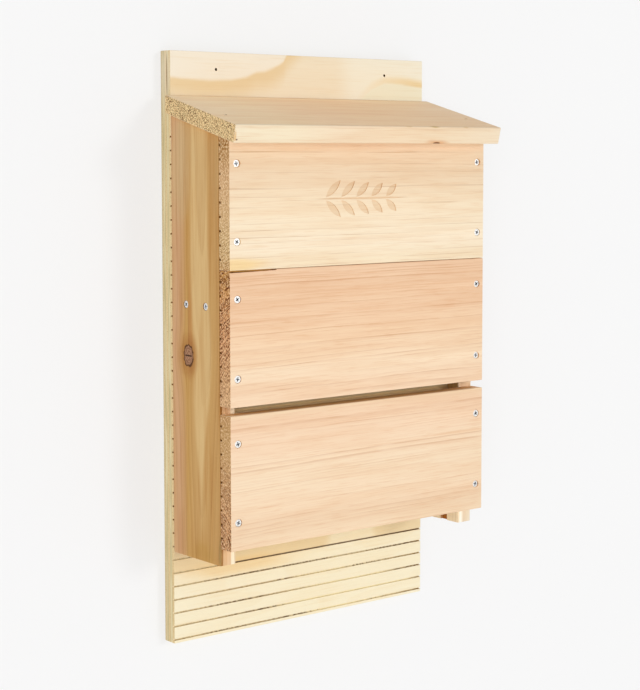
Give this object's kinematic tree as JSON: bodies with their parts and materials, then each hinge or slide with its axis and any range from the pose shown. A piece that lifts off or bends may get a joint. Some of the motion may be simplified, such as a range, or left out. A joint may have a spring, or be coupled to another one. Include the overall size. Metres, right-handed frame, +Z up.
{
  "type": "bat box",
  "caption": "Wall-hung wooden bat box with a grooved landing board, baffled roosting chambers, a ventilation slot across the front and a sloping roof.",
  "frame": {"origin": "on the flat back face of the backboard, midway between the two hanging holes", "axes": "+X to the right seen from the front, +Y into the wall, +Z up, so the box faces -Y"},
  "size_m": [0.317, 0.1277, 0.552],
  "materials": {
    "plywood": "bare, sanded",
    "side_timber": "bare, planed",
    "front_timber": "bare, planed",
    "roof_timber": "bare, planed",
    "baffle_timber": "bare, rough sawn",
    "zinc": "bright zinc plate",
    "nail_steel": "dull"
  },
  "bodies": {
    "root": {"backboard": "plywood", "left_side": "side_timber", "right_side": "side_timber", "front_upper": "front_timber", "front_middle": "front_timber", "front_lower": "front_timber", "roof": "roof_timber", "front_baffle": "baffle_timber", "rear_baffle": "baffle_timber", "lower_screw_left_low": "zinc", "lower_screw_left_high": "zinc", "lower_screw_right_low": "zinc", "lower_screw_right_high": "zinc", "middle_screw_left_low": "zinc", "middle_screw_left_high": "zinc", "middle_screw_right_low": "zinc", "middle_screw_right_high": "zinc", "upper_screw_left_low": "zinc", "upper_screw_left_high": "zinc", "upper_screw_right_low": "zinc", "upper_screw_right_high": "zinc", "rear_baffle_screw_left": "zinc", "rear_baffle_screw_right": "zinc", "front_baffle_screw_left": "zinc", "front_baffle_screw_right": "zinc", "back_screw_left_1": "zinc", "back_screw_left_2": "zinc", "back_screw_left_3": "zinc", "back_screw_right_1": "zinc", "back_screw_right_2": "zinc", "back_screw_right_3": "zinc", "roof_screw_left": "zinc", "roof_screw_centre": "zinc", "roof_screw_right": "zinc", "roof_nail_left": "nail_steel", "roof_nail_right": "nail_steel"}
  },
  "joints": []
}
